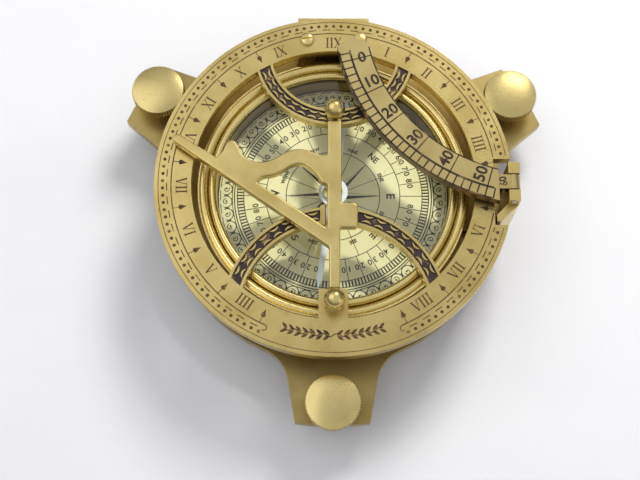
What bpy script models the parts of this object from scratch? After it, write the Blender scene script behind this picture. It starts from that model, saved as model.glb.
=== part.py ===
"""Folding sundial compass in brass.

A three-legged base carries a glazed compass, an hour ring hinged at north, and a latitude arc hinged at east.
The ring carries a gnomon that folds flat. All sizes below are in millimetres. +Z is up and +Y is north, and
the origin is the middle of the bottom cover's underside.
"""

import math

import bmesh
import bpy
from mathutils import Matrix, Vector

MM = 0.001
GAP = 0.3
REACH = 2.0  # how far a cutter runs past the faces that it cuts

# Heights, from the bottom cover's underside
COVER_TOP = 2.2
PLATE_BOTTOM, PLATE_TOP = 2.5, 6.0
CARD_TOP = 9.0
RING_BOTTOM, RING_TOP = 18.5, 22.0
BRIDGE_BOTTOM = 19.0
ARC_BOTTOM, ARC_TOP = 23.8, 26.8
GNOMON_BOTTOM, GNOMON_TOP = 23.5, 26.5

# Hour ring
RING_OUTER, RING_INNER = 50.0, 39.6
NOTCH_X, NOTCH_SOUTH, NOTCH_NORTH = 44.6, -12.8, 6.6
LUG_HALF_WIDTH, LUG_TIP_Y = 4.0, -31.2
RING_SCREWS = {"west": (-7.6, 43.2, 8), "east": (7.6, 43.4, -50)}

# Hinge of the hour ring, running east to west
RING_HINGE_Y, RING_HINGE_Z = 49.0, 14.6
HINGE_HALF_WIDTH, KNUCKLE_HALF_WIDTH, KNUCKLE_RADIUS = 10.4, 5.0, 2.0

# Gnomon and the two posts that it turns between
GNOMON_X, GNOMON_Z = 0.3, 25.0
POST_NORTH_Y, POST_SOUTH_Y = 19.4, -35.4
BALL_RADIUS, COLLAR_RADIUS, BALL_Z = 2.9, 2.0, 27.2
STUB_RADIUS, STUB_HOLE = 1.0, 1.3
TRUNNION_RADIUS, TRUNNION_BORE = 0.8, 1.1

# Decorated bridges: middle, outer radius and inner radius
NORTH_BRIDGE = (0.2, 39.7, 23.0, 18.2)
SOUTH_BRIDGE = (0.5, -38.5, 30.8, 26.2)
CROWN_GAP_WEST, CROWN_GAP_EAST = -1.9, 6.5
CHEEK_WIDTH, CHEEK_SOUTH, CHEEK_NORTH = 1.7, -13.7, -7.1

# Latitude arc and its hinge, running south to north
ARC_MIDDLE = (57.6, 48.8)
ARC_OUTER, ARC_INNER, ARC_ROOT_X = 57.5, 48.5, 45.4
ARC_HINGE_X, ARC_HINGE_Z, ARC_KNUCKLE_RADIUS = 49.6, 25.0, 1.7
ARC_KNUCKLE_SOUTH, ARC_KNUCKLE_NORTH = -3.8, 0.3
BRACKET_SOUTH, BRACKET_NORTH, FOOT_PLATE_TOP = -7.3, 3.9, 8.4

# Compass
BOWL_INNER, BOWL_OUTER, BOWL_FLANGE, FLANGE_TOP = 33.2, 38.2, 44.6, 8.2
GLASS_BOTTOM, GLASS_TOP, GLASS_RADIUS = 14.9, 16.6, 35.2
NEEDLE_BOTTOM, NEEDLE_TOP, NEEDLE_REACH, NEEDLE_BEARING = 12.2, 12.6, 29.0, 8.3
NEEDLE_EYE, NEEDLE_EYE_HOLE, NEEDLE_HALF_WIDTH = 4.2, 2.1, 1.1

# Base and its levelling screws: direction of each leg from +X in degrees, and where its screw stands
LEGS = {"south": 270.0, "east": 30.3, "west": 149.3}
SCREW_PLACES = {"south": (0.0, -60.6), "east": (51.7, 29.9), "west": (-51.2, 30.8)}
BODY_RADIUS, LEG_FILLET = 48.5, 11.0
LEG_LENGTH, LEG_END_BULGE, LEG_HALF_WIDTH, LEG_SIDE_SLOPE = 65.0, 0.8, 10.4, 10.0
SHANK_RADIUS, SCREW_HOLE = 2.4, 2.75
HEAD_RADIUS, HEAD_BOTTOM, HEAD_TOP, HEAD_TEETH, TOOTH_DEPTH = 7.7, 10.8, 15.1, 60, 0.3
FOOT_BOTTOM, FOOT_TOP, FOOT_RADIUS = -6.0, -3.2, 5.0

# Screws under the base: circle radius and number, then places
COVER_RADIUS, COVER_SCREW_CIRCLE, COVER_SCREWS = 30.0, 24.0, 3
BOWL_SCREW_CIRCLE, BOWL_SCREWS = 15.0, 3
HINGE_SCREWS = {"west": (-7.6, 43.8), "east": (7.6, 43.8)}
BRACKET_SCREWS = {"south": (46.5, -5.6), "north": (46.5, 2.2)}
SHANK_HOLE, RECESS_RADIUS, RECESS_DEPTH = 1.3, 2.5, 1.2


def new_collection(name):
    made = bpy.data.collections.new(name)
    bpy.context.scene.collection.children.link(made)
    return made


def clear_scene():
    for item in list(bpy.data.objects):
        bpy.data.objects.remove(item)


clear_scene()
SUNDIAL = new_collection("Garden_Sundial")
CUTTERS = new_collection("Cutters")


def principled(name, colour, roughness, metallic, alpha=1.0):
    material = bpy.data.materials.new(name)
    material.use_nodes = True
    shader = material.node_tree.nodes["Principled BSDF"]
    shader.inputs["Base Color"].default_value = (*colour, 1.0)
    shader.inputs["Roughness"].default_value = roughness
    shader.inputs["Metallic"].default_value = metallic
    shader.inputs["Alpha"].default_value = alpha
    return material


SATIN_BRASS = principled("satin_brass", (0.80, 0.63, 0.27), 0.34, 1.0)
POLISHED_BRASS = principled("polished_brass", (0.86, 0.68, 0.30), 0.18, 1.0)
AGED_BRASS = principled("aged_brass", (0.58, 0.43, 0.16), 0.42, 1.0)
CARD_BRASS = principled("card_brass", (0.74, 0.66, 0.36), 0.45, 0.6)
CLEAR_GLASS = principled("clear_glass", (0.95, 0.97, 0.96), 0.03, 0.0, 0.25)
WHITE_STEEL = principled("white_steel", (0.82, 0.84, 0.85), 0.25, 1.0)


def link_piece(name, data, material):
    piece = bpy.data.objects.new(name, data)
    SUNDIAL.objects.link(piece)
    data.materials.clear()
    data.materials.append(material)
    return piece


def hide_as_cutter(piece):
    for home in list(piece.users_collection):
        home.objects.unlink(piece)
    CUTTERS.objects.link(piece)
    piece.hide_render = True
    piece.display_type = "WIRE"
    return piece


def boolean(piece, tool, operation):
    modifier = piece.modifiers.new(f"{operation.title()} {tool.name}", "BOOLEAN")
    modifier.operation = operation
    modifier.object = hide_as_cutter(tool)
    return piece


def cut(piece, *tools):
    for tool in tools:
        boolean(piece, tool, "DIFFERENCE")
    return piece


def join(piece, *tools):
    for tool in tools:
        boolean(piece, tool, "UNION")
    return piece


def bevel(piece, width, segments=1):
    modifier = piece.modifiers.new("Bevel", "BEVEL")
    modifier.width = width * MM
    modifier.segments = segments
    modifier.limit_method = "ANGLE"
    modifier.angle_limit = math.radians(40)
    return piece


def turned(name, profile, material, x=0.0, y=0.0, steps=48, ring=False):
    """A turned piece. The profile is (radius, height) points down its outer side; a ring's profile closes."""
    count = len(profile)
    edges = [(i, (i + 1) % count) for i in range(count if ring else count - 1)]
    mesh = bpy.data.meshes.new(name)
    mesh.from_pydata([(r * MM, 0, z * MM) for r, z in profile], edges, [])
    piece = link_piece(name, mesh, material)
    piece.location = (x * MM, y * MM, 0)
    screw = piece.modifiers.new("Turn", "SCREW")
    screw.steps = screw.render_steps = steps
    screw.use_merge_vertices = True
    screw.merge_threshold = 0.00001
    screw.use_smooth_shade = True
    return piece


def meshed(guide, name, material):
    """The guide curve as a mesh piece, with its caps welded to its sides."""
    bpy.context.view_layer.update()
    graph = bpy.context.evaluated_depsgraph_get()
    mesh = bpy.data.meshes.new_from_object(guide.evaluated_get(graph))
    work = bmesh.new()
    work.from_mesh(mesh)
    bmesh.ops.remove_doubles(work, verts=work.verts, dist=0.000001)
    bmesh.ops.recalc_face_normals(work, faces=work.faces)
    work.to_mesh(mesh)
    work.free()
    mesh.name = name
    piece = link_piece(name, mesh, material)
    piece.matrix_world = guide.matrix_world
    bpy.data.objects.remove(guide)
    return piece


def add_spline(curve, outline, smooth):
    """A closed outline: straight between its points or, if smooth, a Bezier curve through them."""
    spline = curve.splines.new("BEZIER" if smooth else "POLY")
    points = spline.bezier_points if smooth else spline.points
    points.add(len(outline) - 1)
    for point, place in zip(points, outline):
        if smooth:
            point.co = (place[0] * MM, place[1] * MM, 0)
            kind = "VECTOR" if len(place) == 3 else "AUTO"
            point.handle_left_type = point.handle_right_type = kind
        else:
            point.co = (place[0] * MM, place[1] * MM, 0, 1)
    spline.use_cyclic_u = True


def flat(name, outlines, bottom, top, material, smooth=False):
    """A plate between two heights. Its first outline is the edge and the others are holes."""
    curve = bpy.data.curves.new(name, "CURVE")
    curve.dimensions = "2D"
    curve.fill_mode = "BOTH"
    curve.resolution_u = 3
    curve.extrude = (top - bottom) / 2 * MM
    for outline in outlines:
        add_spline(curve, outline, smooth)
    guide = bpy.data.objects.new(name + "_outline", curve)
    guide.location.z = (bottom + top) / 2 * MM
    SUNDIAL.objects.link(guide)
    return meshed(guide, name, material)


def rod(name, start, end, radius, material, segments=24):
    """A plain cylinder between two points."""
    start, end = Vector(start) * MM, Vector(end) * MM
    turn = (end - start).to_track_quat("Z", "Y").to_matrix().to_4x4()
    work = bmesh.new()
    bmesh.ops.create_cone(
        work,
        cap_ends=True,
        segments=segments,
        radius1=radius * MM,
        radius2=radius * MM,
        depth=(end - start).length,
        matrix=turn,
    )
    mesh = bpy.data.meshes.new(name)
    work.to_mesh(mesh)
    work.free()
    mesh.shade_smooth()
    mesh.set_sharp_from_angle(angle=math.radians(35))
    piece = link_piece(name, mesh, material)
    piece.location = (start + end) / 2
    return piece


def block(name, low, high, material, turn=0.0, about=(0.0, 0.0)):
    """A box from its low corner to its high corner, turned by degrees about a vertical line."""
    low, high = Vector(low) * MM, Vector(high) * MM
    size = high - low
    work = bmesh.new()
    bmesh.ops.create_cube(work, size=1.0)
    bmesh.ops.scale(work, vec=size, verts=work.verts)
    mesh = bpy.data.meshes.new(name)
    work.to_mesh(mesh)
    work.free()
    piece = link_piece(name, mesh, material)
    pivot = Matrix.Translation((about[0] * MM, about[1] * MM, 0))
    spin = pivot @ Matrix.Rotation(math.radians(turn), 4, "Z") @ pivot.inverted()
    piece.matrix_world = spin @ Matrix.Translation((low + high) / 2)
    return piece


def arc(x, y, radius, start, end, count):
    """Points along an arc, in degrees from +X, both ends included."""
    angles = [math.radians(start + (end - start) * i / (count - 1)) for i in range(count)]
    return [(x + radius * math.cos(a), y + radius * math.sin(a)) for a in angles]


def circle(x, y, radius, count=16):
    return arc(x, y, radius, 0, 360 * (count - 1) / count, count)


def direction(distance, angle):
    """The point at that distance from the middle, at that angle from +X in degrees."""
    return distance * math.cos(math.radians(angle)), distance * math.sin(math.radians(angle))


def turned_by(points, angle):
    c, s = math.cos(math.radians(angle)), math.sin(math.radians(angle))
    return [(x * c - y * s, x * s + y * c) for x, y in points]


# Base


def leg_outline():
    """One leg that points along +X, from the body's circle out, round the end and back, anticlockwise."""
    slope = math.radians(LEG_SIDE_SLOPE)
    along = Vector((-math.cos(slope), math.sin(slope)))
    outward = Vector((math.sin(slope), math.cos(slope)))
    corner = Vector((LEG_LENGTH, LEG_HALF_WIDTH))
    offset = corner + outward * LEG_FILLET
    half = offset.dot(along)
    rest = offset.length_squared - (BODY_RADIUS + LEG_FILLET) ** 2
    middle = offset + along * (-half - math.sqrt(half * half - rest))
    first = math.degrees(math.atan2(-middle.y, -middle.x))
    last = -90 - LEG_SIDE_SLOPE
    fillet = arc(middle.x, middle.y, LEG_FILLET, last, first, 9)
    end = [
        (LEG_LENGTH + LEG_END_BULGE * (1 - (y / LEG_HALF_WIDTH) ** 2), y)
        for y in (LEG_HALF_WIDTH * share for share in (-1, -0.6, -0.2, 0.2, 0.6, 1))
    ]
    return [(x, -y) for x, y in reversed(fillet)] + end + fillet


def base_outline():
    outline = []
    legs = sorted(LEGS.values())
    for angle, following in zip(legs, legs[1:] + [legs[0] + 360]):
        leg = turned_by(leg_outline(), angle)
        outline += leg
        start = math.degrees(math.atan2(leg[-1][1], leg[-1][0])) % 360
        entry = turned_by(leg_outline()[:1], following)[0]
        end = math.degrees(math.atan2(entry[1], entry[0])) % 360
        end += 360 * (end < start)
        outline += arc(0, 0, BODY_RADIUS, start, end, 12)[1:-1]
    return outline


def cover_screw_places():
    return [direction(COVER_SCREW_CIRCLE, 90 + i * 360 / COVER_SCREWS) for i in range(COVER_SCREWS)]


def bowl_screw_places():
    return [direction(BOWL_SCREW_CIRCLE, 30 + i * 360 / BOWL_SCREWS) for i in range(BOWL_SCREWS)]


def recess(piece, x, y, face):
    """Sinks a screw head into the underside of a piece."""
    start, end = (x, y, face - REACH), (x, y, face + RECESS_DEPTH)
    cut(piece, rod(f"{piece.name}_recess", start, end, RECESS_RADIUS, AGED_BRASS, 12))


def base_plate():
    sunk = bowl_screw_places() + list(HINGE_SCREWS.values())
    places = cover_screw_places() + sunk + list(BRACKET_SCREWS.values())
    holes = [circle(x, y, SCREW_HOLE, 20) for x, y in SCREW_PLACES.values()]
    holes += [circle(x, y, SHANK_HOLE, 8) for x, y in places]
    plate = flat("base_plate", [base_outline()] + holes, PLATE_BOTTOM, PLATE_TOP, SATIN_BRASS)
    for x, y in sunk:
        recess(plate, x, y, PLATE_BOTTOM)


def bottom_cover():
    holes = [circle(x, y, SHANK_HOLE, 8) for x, y in cover_screw_places()]
    edge = circle(0, 0, COVER_RADIUS, 48)
    cover = flat("bottom_cover", [edge] + holes, 0, COVER_TOP, AGED_BRASS)
    for x, y in cover_screw_places():
        recess(cover, x, y, 0)


def slotted_screw(name, x, y, head_z, head_height, head_radius, tip_z, slot_turn, up, shank=0.8):
    """A screw whose slotted head faces up, or down if up is -1. head_z is the underside of its head."""
    top = head_z + up * head_height
    profile = [(0, top), (head_radius - 0.25, top), (head_radius, top - up * 0.25), (head_radius, head_z)]
    profile += [(shank, head_z), (shank, tip_z), (0, tip_z)]
    screw = turned(name, profile if up > 0 else profile[::-1], POLISHED_BRASS, x, y, 12)
    low, high = sorted((top - up * 0.5, top + up * REACH))
    corner = (x - 2 * head_radius, y - 0.3, low), (x + 2 * head_radius, y + 0.3, high)
    cut(screw, block(name + "_slot", *corner, POLISHED_BRASS, slot_turn, (x, y)))
    return screw


def base_screws():
    for i, (x, y) in enumerate(cover_screw_places()):
        slotted_screw(f"cover_screw_{i + 1}", x, y, 1.0, 0.9, 2.1, 5.6, 35 * i, -1)
    for i, (x, y) in enumerate(bowl_screw_places()):
        slotted_screw(f"bowl_screw_{i + 1}", x, y, 3.4, 0.8, 2.1, 7.1, 50 * i, -1)
    for side, (x, y) in HINGE_SCREWS.items():
        slotted_screw(f"hinge_screw_{side}", x, y, 3.4, 0.8, 2.1, 11.0, 0, -1)
    for side, (x, y) in BRACKET_SCREWS.items():
        slotted_screw(f"bracket_screw_{side}", x, y, FOOT_PLATE_TOP + GAP, 0.9, 1.3, 3.2, 20, 1)


def compass_bowl():
    profile = [
        (0, CARD_TOP - 1.0),
        (BOWL_INNER, CARD_TOP - 1.0),
        (BOWL_INNER, GLASS_BOTTOM - GAP),
        (GLASS_RADIUS + GAP, GLASS_BOTTOM - GAP),
        (GLASS_RADIUS + GAP, GLASS_BOTTOM + 0.7),
        (BOWL_OUTER, GLASS_BOTTOM + 0.7),
        (BOWL_OUTER, FLANGE_TOP),
        (BOWL_FLANGE, FLANGE_TOP),
        (BOWL_FLANGE, PLATE_TOP + GAP),
        (0, PLATE_TOP + GAP),
    ]
    bowl = turned("compass_bowl", profile, SATIN_BRASS, steps=48)
    side = HINGE_HALF_WIDTH + GAP
    low, high = (-side, 40.6, PLATE_TOP - REACH), (side, BOWL_FLANGE + REACH, FLANGE_TOP + REACH)
    cut(bowl, block("bowl_hinge_recess", low, high, SATIN_BRASS))
    low, high = (38.6, -1.0, PLATE_TOP - REACH), (41.8, 1.0, FLANGE_TOP + REACH)
    cut(bowl, block("bowl_flange_slot", low, high, SATIN_BRASS, turn=-16.4))
    for x, y in bowl_screw_places():
        start, end = (x, y, PLATE_TOP - REACH), (x, y, 7.4)
        cut(bowl, rod("bowl_screw_hole", start, end, SHANK_HOLE, SATIN_BRASS, 8))


def bezel_ring():
    """Outer bead: a rounded ring on the bowl's rim."""
    inner, outer, bottom, top = GLASS_RADIUS + GAP, BOWL_OUTER + 0.1, GLASS_BOTTOM + 1.0, 16.7
    bead = arc((inner + outer) / 2, top, (outer - inner) / 2, 180, 0, 6)
    turned("bezel_ring", bead + [(outer, bottom), (inner, bottom)], POLISHED_BRASS, steps=48, ring=True)


def glass_retainer():
    """Inner bead: a rounded ring that holds the glass down."""
    inner, outer, bottom, top = 32.9, GLASS_RADIUS, GLASS_TOP + GAP, 17.0
    bead = arc((inner + outer) / 2, top, (outer - inner) / 2, 180, 0, 6)
    turned("glass_retainer", bead + [(outer, bottom), (inner, bottom)], POLISHED_BRASS, steps=48, ring=True)


def compass_glass():
    edge = GLASS_RADIUS - 0.6
    profile = [(0, GLASS_TOP), (edge, GLASS_TOP), (GLASS_RADIUS, GLASS_TOP - 0.6)]
    profile += [(GLASS_RADIUS, GLASS_BOTTOM), (0, GLASS_BOTTOM)]
    turned("compass_glass", profile, CLEAR_GLASS, steps=48)


def dial_card():
    edge, hole = circle(0, 0, BOWL_INNER - GAP, 48), circle(0, 0, 1.2, 12)
    flat("dial_card", [edge, hole], CARD_TOP - 1.0 + GAP, CARD_TOP, CARD_BRASS)


def needle_pivot():
    profile = [(0, 13.0), (0.45, 12.2), (0.45, 10.2), (1.8, CARD_TOP + 0.9), (1.8, CARD_TOP + GAP)]
    profile += [(0.9, CARD_TOP + GAP), (0.9, CARD_TOP - 0.7), (0, CARD_TOP - 0.7)]
    turned("needle_pivot", profile, WHITE_STEEL, steps=12)


def compass_needle():
    """A flat needle with an eye at its middle and a point at each end."""
    shoulder = math.sqrt(NEEDLE_EYE**2 - NEEDLE_HALF_WIDTH**2)
    eye = math.degrees(math.atan2(NEEDLE_HALF_WIDTH, shoulder))
    half = [(NEEDLE_HALF_WIDTH * 0.7, NEEDLE_REACH - 2.5), (0, NEEDLE_REACH)]
    half += [(-NEEDLE_HALF_WIDTH * 0.7, NEEDLE_REACH - 2.5)]
    half += arc(0, 0, NEEDLE_EYE, 90 + eye, 270 - eye, 13)
    outline = half + [(-x, -y) for x, y in half]
    hole = circle(0, 0, NEEDLE_EYE_HOLE, 20)
    outlines = [turned_by(outline, -NEEDLE_BEARING), hole]
    flat("compass_needle", outlines, NEEDLE_BOTTOM, NEEDLE_TOP, WHITE_STEEL)


def needle_cap():
    """A brass cap with a cone inside, which rests on the pivot's point."""
    profile = [(0, 14.3), (1.0, 14.3), (1.5, 13.6), (2.8, 13.3), (2.8, NEEDLE_TOP + GAP)]
    profile += [(1.8, NEEDLE_TOP + GAP), (1.8, 11.6), (1.1, 11.6), (1.1, 12.6), (0.4, 13.4), (0, 13.4)]
    turned("needle_cap", profile, POLISHED_BRASS, steps=16)


# Hour ring and what it carries


def hour_ring_outline():
    first = math.degrees(math.asin(NOTCH_NORTH / RING_OUTER))
    last = 360 + math.degrees(math.asin(NOTCH_SOUTH / RING_OUTER))
    return arc(0, 0, RING_OUTER, first, last, 88) + [(NOTCH_X, NOTCH_SOUTH), (NOTCH_X, NOTCH_NORTH)]


def hour_ring_opening():
    side = math.degrees(math.asin(LUG_HALF_WIDTH / RING_INNER))
    opening = arc(0, 0, RING_INNER, -90 + side, 270 - side, 72)
    return opening + [(-LUG_HALF_WIDTH, LUG_TIP_Y), (LUG_HALF_WIDTH, LUG_TIP_Y)]


def hour_ring():
    holes = [circle(x, y, 1.1, 12) for x, y, _ in RING_SCREWS.values()]
    holes.append(circle(GNOMON_X, POST_SOUTH_Y, STUB_HOLE))
    outlines = [hour_ring_outline(), hour_ring_opening()] + holes
    flat("hour_ring", outlines, RING_BOTTOM, RING_TOP, SATIN_BRASS)


def ring_screws():
    for side, (x, y, slot_turn) in RING_SCREWS.items():
        slotted_screw(f"ring_screw_{side}", x, y, RING_TOP + GAP, 0.9, 1.9, 16.8, slot_turn, 1)


def ring_hinge_leaf():
    """A leaf under the ring, with an arm back to a knuckle on the hinge's axis."""
    top, bottom, width = RING_BOTTOM - GAP, 16.2, KNUCKLE_HALF_WIDTH
    leaf = block(
        "ring_hinge_leaf", (-HINGE_HALF_WIDTH, 40.9, bottom), (HINGE_HALF_WIDTH, 45.7, top), SATIN_BRASS
    )
    arm_side, arm_top = width - 0.2, top - 0.2
    low, high = (-arm_side, 45.0, RING_HINGE_Z), (arm_side, RING_HINGE_Y, arm_top)
    arm = block("leaf_arm", low, high, SATIN_BRASS)
    start, end = (-width, RING_HINGE_Y, RING_HINGE_Z), (width, RING_HINGE_Y, RING_HINGE_Z)
    knuckle = rod("leaf_knuckle", start, end, KNUCKLE_RADIUS, SATIN_BRASS)
    start, end = (-width - REACH, *start[1:]), (width + REACH, *end[1:])
    join(leaf, arm, knuckle)
    cut(leaf, rod("leaf_bore", start, end, 1.2, SATIN_BRASS))
    for side, (x, y, _) in RING_SCREWS.items():
        cut(leaf, rod(f"leaf_screw_hole_{side}", (x, y, 15), (x, y, 20), 1.1, SATIN_BRASS, 12))


def base_hinge_block():
    """Two cheeks that stand on the base and hold the ring's hinge pin, with a wall behind them."""
    side, slot = HINGE_HALF_WIDTH, KNUCKLE_HALF_WIDTH + GAP
    bottom, shelf, top, back = PLATE_TOP + GAP, 15.7, 17.2, 46.6
    piece = block("base_hinge_block", (-side, 41.0, bottom), (side, 52.6, top), SATIN_BRASS)
    low, high = (-side - REACH, 40, shelf), (side + REACH, back, top + REACH)
    cut(piece, block("hinge_shelf", low, high, SATIN_BRASS))
    cut(piece, block("hinge_slot", (-slot, 40, 12.2), (slot, 51.4, top + REACH), SATIN_BRASS))
    start, end = (-side - REACH, RING_HINGE_Y, RING_HINGE_Z), (side + REACH, RING_HINGE_Y, RING_HINGE_Z)
    cut(piece, rod("hinge_bore", start, end, 1.2, SATIN_BRASS))
    for x, y in HINGE_SCREWS.values():
        start, end = (x, y, bottom - REACH), (x, y, 11.6)
        cut(piece, rod("hinge_screw_hole", start, end, SHANK_HOLE, SATIN_BRASS, 8))


def ring_hinge_pin():
    start, end = (-10.2, RING_HINGE_Y, RING_HINGE_Z), (10.2, RING_HINGE_Y, RING_HINGE_Z)
    rod("ring_hinge_pin", start, end, 0.9, WHITE_STEEL)


def meets_ring(x, y, radius):
    """The two angles, in degrees, at which a circle comes within a gap of the ring's inner edge."""
    away, limit = math.hypot(x, y), RING_INNER - GAP
    toward = math.degrees(math.atan2(y, x))
    spread = math.degrees(math.acos((limit**2 - away**2 - radius**2) / (2 * radius * away)))
    return toward + spread, toward + 360 - spread


def upper_crescent():
    x, y, outer, inner = NORTH_BRIDGE
    outline = arc(x, y, outer, *meets_ring(x, y, outer), 40)
    outline += reversed(arc(x, y, inner, *meets_ring(x, y, inner), 32))
    hole = circle(GNOMON_X, POST_NORTH_Y, STUB_HOLE)
    flat("upper_crescent", [outline, hole], BRIDGE_BOTTOM, RING_TOP, AGED_BRASS)


def lower_crescent(name, edge, away):
    """Half of the south bridge, from its foot to its edge at the crown. away is -1 for west, 1 for east."""
    x, y, outer, inner = SOUTH_BRIDGE
    outer_foot, inner_foot = (meets_ring(x, y, r)[0 if away > 0 else 1] for r in (outer, inner))
    outer_crown, inner_crown = (math.degrees(math.acos((edge - x) / r)) for r in (outer, inner))
    outline = arc(x, y, outer, outer_foot, outer_crown, 24) + arc(x, y, inner, inner_crown, inner_foot, 20)
    return flat(name, [outline], BRIDGE_BOTTOM, RING_TOP, AGED_BRASS)


def lower_crescents():
    """The east half stops where the gnomon's heel swings down. The west half ends in an upright cheek."""
    lower_crescent("lower_crescent_east", CROWN_GAP_EAST, 1)
    west = lower_crescent("lower_crescent_west", CROWN_GAP_WEST - 0.2, -1)
    low = (CROWN_GAP_WEST - CHEEK_WIDTH, CHEEK_SOUTH, BRIDGE_BOTTOM + 0.2)
    high = (CROWN_GAP_WEST, CHEEK_NORTH, RING_TOP + 0.6)
    join(west, block("crown_cheek", low, high, AGED_BRASS))


def pivot_post(name, y):
    """A collar with a ball on it and a stub under it. The gnomon's trunnion turns in its bore."""
    base = RING_TOP + GAP
    low = -math.degrees(math.acos(COLLAR_RADIUS / BALL_RADIUS))
    ball = arc(0, BALL_Z, BALL_RADIUS, 90, low, 9)
    ball[0] = (0, BALL_Z + BALL_RADIUS)
    foot_z = BRIDGE_BOTTOM + GAP
    profile = ball + [(COLLAR_RADIUS, base), (STUB_RADIUS, base), (STUB_RADIUS, foot_z), (0, foot_z)]
    post = turned(name, profile, POLISHED_BRASS, GNOMON_X, y, 20)
    start, end = (GNOMON_X, y - 5, GNOMON_Z), (GNOMON_X, y + 5, GNOMON_Z)
    cut(post, rod(name + "_bore", start, end, TRUNNION_BORE, POLISHED_BRASS, 12))


# Gnomon


def gnomon_outline():
    """The edge of the gnomon as it lies flat to the west, clockwise. Points marked True are corners."""
    west, east, foot_west, foot_east = -1.7, 2.2, -1.2, 1.8
    north, south = POST_NORTH_Y - BALL_RADIUS - GAP, POST_SOUTH_Y + BALL_RADIUS + GAP
    heel, heel_north, heel_south = 6.6, -8.0, -15.1
    edge = [(west, north, True), (east, north, True), (east, heel_north, True)]
    edge += [(heel - 0.9, heel_north, True), (heel, heel_north - 0.9, True)]
    edge += [(heel, heel_south + 0.6, True), (heel - 0.6, heel_south, True), (foot_east, heel_south, True)]
    edge += [(foot_east, south, True), (foot_west, south, True), (foot_west, -20.6, True)]
    edge += [(-43.9, 9.5, True), (-44.7, 10.3), (-44.3, 11.7), (-42.8, 11.9, True), (-32.4, 5.0, True)]
    edge += [(-30.6, 7.2), (-29.7, 9.3), (-28.0, 10.2), (-26.7, 8.8), (-25.8, 6.8), (-24.2, 4.9)]
    edge += [(-20.5, 3.7), (-16.7, 4.6), (-13.9, 6.3), (-11.1, 7.4), (-8.3, 7.5), (-5.6, 6.7), (-3.4, 5.9)]
    edge += [(west, 6.1, True)]
    return edge


def gnomon_opening():
    west = -1.7
    edge = [(-21.2, -2.2, True), (-19.7, -0.7), (-16.7, -0.1), (-14.4, 1.0), (-11.7, 2.8), (-9.2, 3.3)]
    edge += [(-6.7, 2.1), (-4.7, 0.1), (-3.3, -2.2, True), (west, -2.7, True), (west, -15.4, True)]
    return edge


def gnomon():
    outlines = [gnomon_outline(), gnomon_opening()]
    piece = flat("gnomon", outlines, GNOMON_BOTTOM, GNOMON_TOP, SATIN_BRASS, smooth=True)
    bevel(piece, 0.5)
    north, south = POST_NORTH_Y - BALL_RADIUS - GAP, POST_SOUTH_Y + BALL_RADIUS + GAP
    for name, start, end in (("north", north - 3, 21.4), ("south", south + 3, POST_SOUTH_Y - 2.2)):
        ends = (GNOMON_X, start, GNOMON_Z), (GNOMON_X, end, GNOMON_Z)
        join(piece, rod(f"gnomon_trunnion_{name}", *ends, TRUNNION_RADIUS, SATIN_BRASS, 12))


# Latitude arc


def angle_on_arc(radius, x):
    """Where the arc's circle of that radius crosses x, on its southern side, in degrees."""
    return 360 - math.degrees(math.acos((x - ARC_MIDDLE[0]) / radius))


def latitude_arc():
    outer = arc(*ARC_MIDDLE, ARC_OUTER, 190.0, angle_on_arc(ARC_OUTER, ARC_ROOT_X), 28)
    inner = arc(*ARC_MIDDLE, ARC_INNER, angle_on_arc(ARC_INNER, ARC_ROOT_X), 191.0, 24)
    tip = [(5.4, 42.0)]
    piece = flat("latitude_arc", [outer + inner + tip], ARC_BOTTOM, ARC_TOP, SATIN_BRASS)
    bevel(piece, 0.2)
    south, north = ARC_KNUCKLE_SOUTH, ARC_KNUCKLE_NORTH
    tab = block("arc_tab", (44.0, south, ARC_BOTTOM), (ARC_HINGE_X, north, ARC_TOP - 0.3), SATIN_BRASS)
    start, end = (ARC_HINGE_X, south, ARC_HINGE_Z), (ARC_HINGE_X, north, ARC_HINGE_Z)
    join(piece, tab, rod("arc_knuckle", start, end, ARC_KNUCKLE_RADIUS, SATIN_BRASS))
    start, end = (ARC_HINGE_X, south - REACH, ARC_HINGE_Z), (ARC_HINGE_X, north + REACH, ARC_HINGE_Z)
    cut(piece, rod("arc_bore", start, end, 1.0, SATIN_BRASS))


def arc_bracket():
    """A post on the base with a bent foot, and two lugs that hold the arc's pin."""
    west, east = ARC_HINGE_X - 1.6, ARC_HINGE_X + 1.6
    south, north = BRACKET_SOUTH, BRACKET_NORTH
    plan = [(west, north), (west, south + 0.3), (45.0, -10.2), (45.0, -12.2), (46.0, -12.2)]
    plan += [(east, south), (east, north)]
    lug_base = ARC_HINGE_Z - ARC_KNUCKLE_RADIUS - GAP
    piece = flat("arc_bracket", [plan], PLATE_TOP + GAP, lug_base, SATIN_BRASS)
    low, high = (45.0, south + 0.2, PLATE_TOP + GAP), (east - 0.5, north - 0.2, FOOT_PLATE_TOP)
    join(piece, block("bracket_foot", low, high, SATIN_BRASS))
    spans = (("south", south, ARC_KNUCKLE_SOUTH - GAP), ("north", ARC_KNUCKLE_NORTH + GAP, north))
    for name, low, high in spans:
        corners = (west, low, lug_base - 1), (east, high, ARC_HINGE_Z + 1.6)
        join(piece, block(f"bracket_lug_{name}", *corners, SATIN_BRASS))
    start, end = (ARC_HINGE_X, south - REACH, ARC_HINGE_Z), (ARC_HINGE_X, north + REACH, ARC_HINGE_Z)
    cut(piece, rod("bracket_bore", start, end, 1.0, SATIN_BRASS))
    for x, y in BRACKET_SCREWS.values():
        start, end = (x, y, PLATE_TOP - REACH), (x, y, FOOT_PLATE_TOP + REACH)
        cut(piece, rod("bracket_screw_hole", start, end, SHANK_HOLE, SATIN_BRASS, 8))


def arc_hinge_pin():
    start, end = (ARC_HINGE_X, BRACKET_SOUTH, ARC_HINGE_Z), (ARC_HINGE_X, BRACKET_NORTH, ARC_HINGE_Z)
    rod("arc_hinge_pin", start, end, 0.7, WHITE_STEEL)


# Levelling screws


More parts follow.
